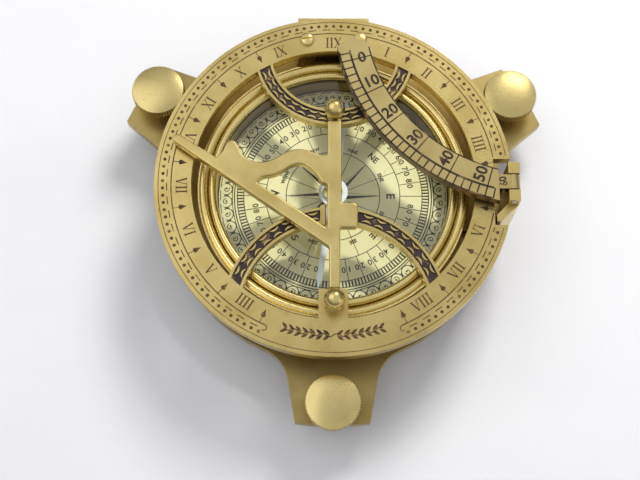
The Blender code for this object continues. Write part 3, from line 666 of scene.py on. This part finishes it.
def bridge(name, node, place, count, limits=None):
    """A cast bridge: a dark ground between two raised rails, with pairs of crescents back to back on it.

    place is its middle and radii, count the pairs on the whole circle, and limits trims its bearings.
    """
    outer, inner = place[2:]
    top, ground, rail = RING_TOP - 0.03 * MM, RING_TOP - 0.45 * MM, 0.75 * MM
    work = bmesh.new()
    band(work, place, inner, outer, limits, BRIDGE_BOTTOM, ground - 0.02 * MM)
    band(work, place, outer - rail, outer, limits, ground - 0.1 * MM, top)
    band(work, place, inner, inner + rail, limits, ground - 0.1 * MM, top)
    body = finish_piece(name, work, SATIN, "hour_ring")
    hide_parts(node)
    work = bmesh.new()
    band(work, place, inner + rail - 0.05 * MM, outer - rail + 0.05 * MM, limits, ground - 0.1 * MM, ground)
    finish_piece(name + "_ground", work, GROUND, "hour_ring")
    work = bmesh.new()
    middle_radius = (outer + inner) / 2
    start, end = bearing_range(place, middle_radius, -2.5)
    margin = 2.2  # degrees between the last crescent's middle and a trimmed end
    for i in range(count):
        bearing = start + (end - start) * (i + 0.5) / count
        if limits and not limits[0] + margin < bearing < limits[1] - margin:
            continue
        for side in (-1, 1):
            crescent_mark(work, place, bearing, side, ground - 0.05 * MM, top - 0.06 * MM)
    finish_piece(name + "_crescents", work, SATIN, "hour_ring")


def crown_cheek():
    """The upright lug at the west bridge's crown, which the gnomon's foot rests against."""
    work = bmesh.new()
    west, east = -3.6 * MM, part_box("lower_crescent_west")[1].x
    south, north = -13.6 * MM, -7.2 * MM
    outline = [(west, south), (east, south), (east, north), (west, north)]
    slab(work, outline, BRIDGE_BOTTOM, RING_TOP + 0.6 * MM)
    edges = list(work.edges)
    bmesh.ops.bevel(work, geom=edges, offset=0.35 * MM, segments=3, affect="EDGES", clamp_overlap=True)
    finish_piece("crown_cheek", work, SATIN, "hour_ring", 60)


def crown_bearing(x):
    """Bearing about the south bridge's middle at which its middle line crosses x."""
    radius = (SOUTH_BRIDGE[2] + SOUTH_BRIDGE[3]) / 2
    return math.degrees(math.asin((x - SOUTH_BRIDGE[0]) / radius))


def bridges():
    """The north bridge, and the south one in two halves with the gnomon's foot between them."""
    bridge("north_bridge", "upper_crescent", NORTH_BRIDGE, 17)
    low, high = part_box("lower_crescent_west")[1].x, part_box("lower_crescent_east")[0].x
    east, west = (crown_bearing(high) + 360, math.inf), (-math.inf, crown_bearing(low) + 360)
    bridge("south_bridge_east", "lower_crescent_east", SOUTH_BRIDGE, 18, east)
    bridge("south_bridge_west", "lower_crescent_west", SOUTH_BRIDGE, 18, west)


# Compass


def rose_point(work, bearing, length, valley, z):
    """One point of the compass rose: a dark half beside an outlined half."""
    tip, root = Vector(polar(length, bearing)), Vector((0.0, 0.0))
    dark = Vector(polar(valley, bearing + 22.5))
    light = Vector(polar(valley, bearing - 22.5))
    polygon(work, [root, tip, dark], z)
    ribbon(work, [root, light, tip, root], 0.16 * MM, z)


def card_lines():
    """The rose, the circles and the degree scale."""
    z = CARD_TOP + LIFT
    work = bmesh.new()
    for i in range(8):
        rose_point(work, i * 45, ROSE_REACH, ROSE_VALLEY, z)
        between = i * 45 + 22.5
        ribbon(work, [polar(ROSE_VALLEY, between), polar(WIND_CIRCLE, between)], 0.18 * MM, z)
    circles = (
        (ROSE_REACH, 0.24), (WIND_CIRCLE, 0.24), (DEGREE_CIRCLE, 0.22), (TICK_CIRCLE, 0.26),
        (BORDER_CIRCLE, 0.34))
    for radius, width in circles:
        ribbon(work, sweep(radius, 0, 357, 3), width * MM, z, closed=True)
    for degree in range(0, 360, 10):
        ribbon(work, [polar(WIND_CIRCLE, degree), polar(DEGREE_CIRCLE, degree)], 0.22 * MM, z)
    for degree in range(0, 360, 2):
        ribbon(work, [polar(DEGREE_CIRCLE, degree), polar(TICK_CIRCLE, degree)], 0.44 * MM, z)
    finish_piece("card_lines", work, CARD_INK, "base")


def card_letters():
    """The winds between the two circles, and each quadrant's degrees, counted from north or south."""
    z = CARD_TOP + 2 * LIFT
    work = bmesh.new()
    winds = "N NNE NE ENE E ESE SE SSE S SSW SW WSW W WNW NW NNW".split()
    # Size, distance from the middle and boldness, in millimetres, by the number of letters
    sizes = {1: (3.4, 16.5, 0.09), 2: (2.6, 16.5, 0.08), 3: (1.5, 14.9, 0.06)}
    for i, wind in enumerate(winds):
        bearing = i * 22.5
        size, radius, bold = sizes[len(wind)]
        reading = polar(1, bearing + 90)
        write(work, wind, size * MM, polar(radius * MM, bearing), reading, z, bold * MM)
    for bearing in range(10, 360, 10):
        if bearing % 90 == 0:
            continue
        tens = str(9 - abs(9 - bearing // 10 % 18))  # rises to 9 by east or west and falls again
        for digit, turn in ((tens, -2.2), ("0", 2.2)):
            place, reading = polar(22.4 * MM, bearing + turn), polar(1, bearing + 90)
            write(work, digit, 2.35 * MM, place, reading, z, 0.05 * MM)
    finish_piece("card_letters", work, CARD_INK, "base")


def card_border():
    """A dark band round the card, with pale discs and leaves left in it, and a scroll on each disc."""
    z = CARD_TOP + LIFT
    low, high, count = 28.9 * MM, CARD_RADIUS - 0.35 * MM, 50
    middle, disc = 30.9 * MM, 1.62 * MM
    half_pitch = 180 / count
    work = bmesh.new()
    for i in range(120):
        corners = [polar(low, i * 3), polar(high, i * 3), polar(high, i * 3 + 3), polar(low, i * 3 + 3)]
        polygon(work, corners, z)
    finish_piece("card_border", work, CARD_INK, "base")
    pale, scrolls = bmesh.new(), bmesh.new()
    for i in range(count):
        bearing = 360 * i / count
        between = bearing + half_pitch
        hand = 1 if i % 2 else -1
        centre = polar(middle, bearing)
        dot(pale, centre, disc, z + LIFT, 18)
        for radius, outward in ((low + 0.25 * MM, 1), (high - 0.25 * MM, -1)):
            tip = polar(radius + outward * 1.1 * MM, between)
            polygon(pale, [polar(radius, between - 1.9), polar(radius, between + 1.9), tip], z + LIFT)
        curl = scroll(centre, 0.95, 1.0 * MM, bearing + 120, hand, 16)
        ribbon(scrolls, curl, 0.24 * MM, z + 2 * LIFT)
        dot(scrolls, polar(0.26 * MM, bearing + 120, centre), 0.30 * MM, z + 2 * LIFT, 8)
    finish_piece("card_discs", pale, CARD, "base")
    finish_piece("card_scrolls", scrolls, CARD_INK, "base")


def needle_marks():
    """The dark mark near the needle's north end."""
    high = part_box("compass_needle")[1]
    z, reach = high.z + LIFT, high.y
    bearing = math.degrees(math.atan2(high.x, high.y))
    along = Vector(polar(1, bearing))
    right = (along.y, -along.x)
    work = bmesh.new()
    tip = Vector(polar(reach * 0.985, bearing))
    mark = [(-0.55, -1.9), (-0.42, -6.5), (0.42, -6.5), (0.55, -1.9)]
    polygon(work, placed(mark, tip, right, MM), z)
    finish_piece("needle_mark", work, CARD_INK, "needle")


# Turned pieces


def bead(name, node, width):
    """A rounded ring of fine steps in place of a coarser one."""
    low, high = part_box(node)
    outer, inner = high.x, high.x - width
    middle, half = (inner + outer) / 2, (outer - inner) / 2
    rise = min(half, high.z - low.z)
    angles = [math.pi * i / 14 for i in range(15)]
    arc = [(middle + half * math.cos(a), high.z - rise + rise * math.sin(a)) for a in angles]
    profile = [(outer, low.z)] + arc + [(inner, low.z), (outer, low.z)]
    piece = turned(name, profile, 180, POLISHED, "base", smooth=50)
    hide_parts(node)


def ball_post(name, node):
    """A polished ball on a short collar."""
    low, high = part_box(node)
    radius = (high.x - low.x) / 2
    place = ((high.x + low.x) / 2, (high.y + low.y) / 2)
    middle, collar, foot = high.z - radius, radius * 0.69, RING_TOP - 0.2 * MM
    start = math.asin(collar / radius)
    angles = [start + (math.pi - start) * i / 28 for i in range(29)]
    profile = [(AXIS, foot), (collar * 1.12, foot), (collar * 1.12, RING_TOP + 0.5 * MM)]
    profile += [(collar * 0.95, RING_TOP + 0.8 * MM)]
    profile += [(max(radius * math.sin(a), AXIS), middle - radius * math.cos(a)) for a in angles]
    piece = turned(name, profile, 64, POLISHED, "hour_ring", place)
    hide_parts(node)


def knurled_head(name, node, body):
    """A thumbscrew: a gently domed head with an upright knurl, a neck and a threaded shank."""
    low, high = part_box(node)
    place = ((high.x + low.x) / 2, (high.y + low.y) / 2)
    radius, top = (high.x - low.x) / 2, high.z
    teeth, per_tooth, depth = 60, 4, 0.42 * MM
    knurl_low, knurl_high = top - 3.9 * MM, top - 1.0 * MM

    def wave(reach, i):
        """Cuts the teeth into the head's widest part only."""
        if reach < radius - 0.01 * MM:
            return reach
        share = abs((i % per_tooth) / per_tooth * 2 - 1)
        return radius - depth * share

    edge, drop = radius - 0.32 * MM, 0.75 * MM
    dome = [(edge * s, top - drop * s**2.6) for s in (0.97, 0.9, 0.78, 0.6, 0.4, 0.2, 0.04)]
    thread_low, thread_high, pitch, shank, neck = -2.8 * MM, 9.2 * MM, 0.8 * MM, 2.4 * MM, 4.2 * MM
    profile = [(1.4 * MM, low.z), (1.5 * MM, -2.9 * MM)]
    z = thread_low
    while z < thread_high:
        profile += [(shank - 0.3 * MM, z), (shank, z + pitch / 2)]
        z += pitch
    under = knurl_low - 0.25 * MM
    profile += [(neck, 9.6 * MM), (neck, under), (radius - 0.9 * MM, under)]
    profile += [(edge, knurl_low), (radius, knurl_low + 0.3 * MM), (radius, knurl_high)]
    profile += [(edge, top - drop)] + dome + [(AXIS, top)]
    piece = turned(name, profile, teeth * per_tooth, HEAD, body, place, wave, 32)
    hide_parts(node)


def slotted_head(name, node, body, slot_turn):
    """A domed screw head with a sawn slot, on its plain shank. slot_turn is the slot's angle from east."""
    low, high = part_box(node)
    place = ((high.x + low.x) / 2, (high.y + low.y) / 2)
    radius, top, under = (high.x - low.x) / 2, high.z, high.z - 1.2 * MM
    dome = [(radius * s, top - 0.30 * MM * s**2) for s in (0.92, 0.75, 0.5, 0.25)]
    profile = [(AXIS, low.z), (0.8 * MM, low.z), (0.8 * MM, under), (radius, under)]
    profile += [(radius, top - 0.42 * MM)] + dome + [(AXIS, top)]
    piece = turned(name, profile, 56, POLISHED, body, place)
    work = bmesh.new()
    length, width = radius * 1.3, 0.32 * MM  # half of each
    corners = [(-length, -width), (length, -width), (length, width), (-length, width)]
    angle = math.radians(slot_turn)
    outline = placed(corners, place, (math.cos(angle), math.sin(angle)), 1)
    slab(work, outline, top - 0.62 * MM, top + 1 * MM)
    bmesh.ops.recalc_face_normals(work, faces=work.faces)
    mesh = bpy.data.meshes.new(name + "_slot")
    work.to_mesh(mesh)
    work.free()
    cutter = bpy.data.objects.new(name + "_slot", mesh)
    bpy.context.scene.collection.objects.link(cutter)
    saw = piece.modifiers.new("Slot", "BOOLEAN")
    saw.object, saw.operation = cutter, "DIFFERENCE"
    bpy.context.view_layer.update()
    cut = bpy.data.meshes.new_from_object(piece.evaluated_get(bpy.context.evaluated_depsgraph_get()))
    piece.modifiers.clear()
    piece.data = cut
    bpy.data.objects.remove(cutter)
    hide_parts(node)


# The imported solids


def paint(material, *names):
    """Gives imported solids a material."""
    for name in names:
        data = NODES[name].data
        data.materials.clear()
        data.materials.append(material)


def soften(name, width):
    """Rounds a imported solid's edges and smooths its round faces, with its mesh left as it is."""
    piece = NODES[name]
    piece.data.shade_smooth()
    weld = piece.modifiers.new("Weld", "WELD")
    weld.merge_threshold = 0.002 * MM
    edge = piece.modifiers.new("Edge", "BEVEL")
    edge.width, edge.segments = width, 2
    edge.limit_method, edge.angle_limit = "ANGLE", math.radians(35)
    edge.use_clamp_overlap = True
    shade = piece.modifiers.new("Shade", "WEIGHTED_NORMAL")
    shade.mode, shade.weight = "FACE_AREA", 90


def cast(name, voxel, rounds):
    """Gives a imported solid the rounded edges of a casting."""
    piece = NODES[name]
    weld = piece.modifiers.new("Weld", "WELD")
    weld.merge_threshold = 0.002 * MM
    remesh = piece.modifiers.new("Skin", "REMESH")
    remesh.mode, remesh.voxel_size = "VOXEL", voxel
    remesh.use_smooth_shade = True
    smooth = piece.modifiers.new("Rounding", "SMOOTH")
    smooth.factor, smooth.iterations = 0.5, rounds


def dress_solids():
    """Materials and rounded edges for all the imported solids."""
    paint(SATIN, "hour_ring", "ring_hinge_leaf", "base_hinge_block", "arc_bracket")
    paint(ARC, "latitude_arc")
    # Painted shade: the base plate and bowl get the darker brass
    paint(BASE, "base_plate", "compass_bowl")
    paint(AGED, "bottom_cover", "foot_south", "foot_east", "foot_west")
    paint(CAST, "gnomon")
    paint(CARD, "dial_card")
    paint(STEEL, "compass_needle", "needle_pivot", "ring_hinge_pin", "arc_hinge_pin")
    paint(POLISHED, "needle_cap", *(n for n in NODES if "screw" in n and not n.startswith("thumb")))
    paint(GLASS, "compass_glass")
    for name in ("hour_ring", "ring_hinge_leaf", "base_hinge_block", "arc_bracket"):
        soften(name, 0.25 * MM)
    soften("base_plate", 0.45 * MM)
    soften("compass_bowl", 0.3 * MM)
    soften("latitude_arc", 0.15 * MM)
    for name in ("foot_south", "foot_east", "foot_west", "bottom_cover"):
        soften(name, 0.25 * MM)
    cast("gnomon", 0.22 * MM, 9)


# Stage


def area_light(name, place, aim, size, power, colour):
    """A square light that shines towards aim. power is in watts."""
    data = bpy.data.lights.new(name, "AREA")
    data.energy, data.size, data.color = power, size, colour
    lamp = bpy.data.objects.new(name, data)
    bpy.context.scene.collection.objects.link(lamp)
    lamp.location = place
    lamp.rotation_euler = (Vector(aim) - Vector(place)).to_track_quat("-Z", "Y").to_euler()
    return lamp


def link_to_table(lamp, name, state):
    """Keeps a light off the table with EXCLUDE, or on the table only with INCLUDE.

    The table's sunlight is then a softer one than the object's.
    """
    receivers = bpy.data.collections.new(name)
    receivers.objects.link(bpy.data.objects["table"])
    receivers.collection_objects[0].light_linking.link_state = state
    lamp.light_linking.receiver_collection = receivers


def room():
    """A room that is pale above and dark at the horizon, with a window's light and two pale panels."""
    warm, cool = (1.0, 0.98, 0.95), (0.95, 0.97, 1.0)
    world = bpy.data.worlds.new("room")
    bpy.context.scene.world = world
    world.use_nodes = True
    tree = world.node_tree
    back = tree.nodes["Background"]
    coordinates = tree.nodes.new("ShaderNodeTexCoord")
    split = tree.nodes.new("ShaderNodeSeparateXYZ")
    tree.links.new(coordinates.outputs["Generated"], split.inputs[0])
    fade = tree.nodes.new("ShaderNodeValToRGB")
    tree.links.new(split.outputs["Z"], fade.inputs["Fac"])
    stops = fade.color_ramp.elements
    stops[0].position, stops[0].color = 0.0, (0.12, 0.105, 0.10, 1)
    stops[1].position, stops[1].color = 1.0, (0.74, 0.75, 0.78, 1)
    stops.new(0.35).color = (0.34, 0.34, 0.36, 1)
    stops.new(0.70).color = (0.84, 0.86, 0.90, 1)
    stops.new(0.93).color = (1.0, 1.0, 1.0, 1)
    tree.links.new(fade.outputs["Color"], back.inputs["Color"])
    back.inputs["Strength"].default_value = 0.72
    centre = (0, 0, RING_TOP)
    window = (0.20, 0.42, 0.46)
    area_light("window", window, centre, 0.20, 0.6, warm)
    sun = area_light("sunlight", window, centre, 0.05, 6.5, warm)
    sun.visible_glossy = False
    link_to_table(sun, "object_sunlight", "EXCLUDE")
    soft = area_light("soft_sunlight", window, centre, 0.22, 2.8, warm)
    soft.visible_glossy = False
    link_to_table(soft, "table_sunlight", "INCLUDE")
    area_light("sky_panel", (-0.45, 0.10, 0.65), centre, 0.7, 1.0, cool)
    area_light("side_panel", (0.55, -0.30, 0.25), centre, 0.40, 0.35, warm)
    bpy.context.scene.view_settings.view_transform = "Standard"


def table():
    """The pale table cover the feet stand on."""
    work = bmesh.new()
    bmesh.ops.create_grid(work, x_segments=60, y_segments=60, size=0.8)
    mesh = bpy.data.meshes.new("table")
    work.to_mesh(mesh)
    work.free()
    mesh.materials.append(cloth())
    mesh.shade_smooth()
    piece = bpy.data.objects.new("table", mesh)
    bpy.context.scene.collection.objects.link(piece)
    piece.location.z = FLOOR_Z - TABLE_GAP


def camera():
    """The photo's view."""
    data = bpy.data.cameras.new("camera")
    data.lens, data.sensor_width = PHOTO_LENS, 36.0
    data.clip_start = 0.01
    view = bpy.data.objects.new("camera", data)
    bpy.context.scene.collection.objects.link(view)
    view.location = CAMERA_PLACE
    view.rotation_euler = [math.radians(angle) for angle in CAMERA_TURN]
    bpy.context.scene.camera = view


dress_solids()
hour_scale()
ring_flourish()
latitude_scale()
knuckle_number()
bridges()
crown_cheek()
card_lines()
card_letters()
card_border()
needle_marks()
bead("bezel_bead", "bezel_ring", 2.8 * MM)
bead("retainer_bead", "glass_retainer", 2.3 * MM)
ball_post("ball_post_north", "pivot_post_north")
ball_post("ball_post_south", "pivot_post_south")
for side in ("south", "east", "west"):
    knurled_head(f"knurled_screw_{side}", f"thumbscrew_{side}", f"thumbscrew_{side}")
slotted_head("slotted_screw_west", "ring_screw_west", "hour_ring", 8)
slotted_head("slotted_screw_east", "ring_screw_east", "hour_ring", -50)
table()
room()
camera()
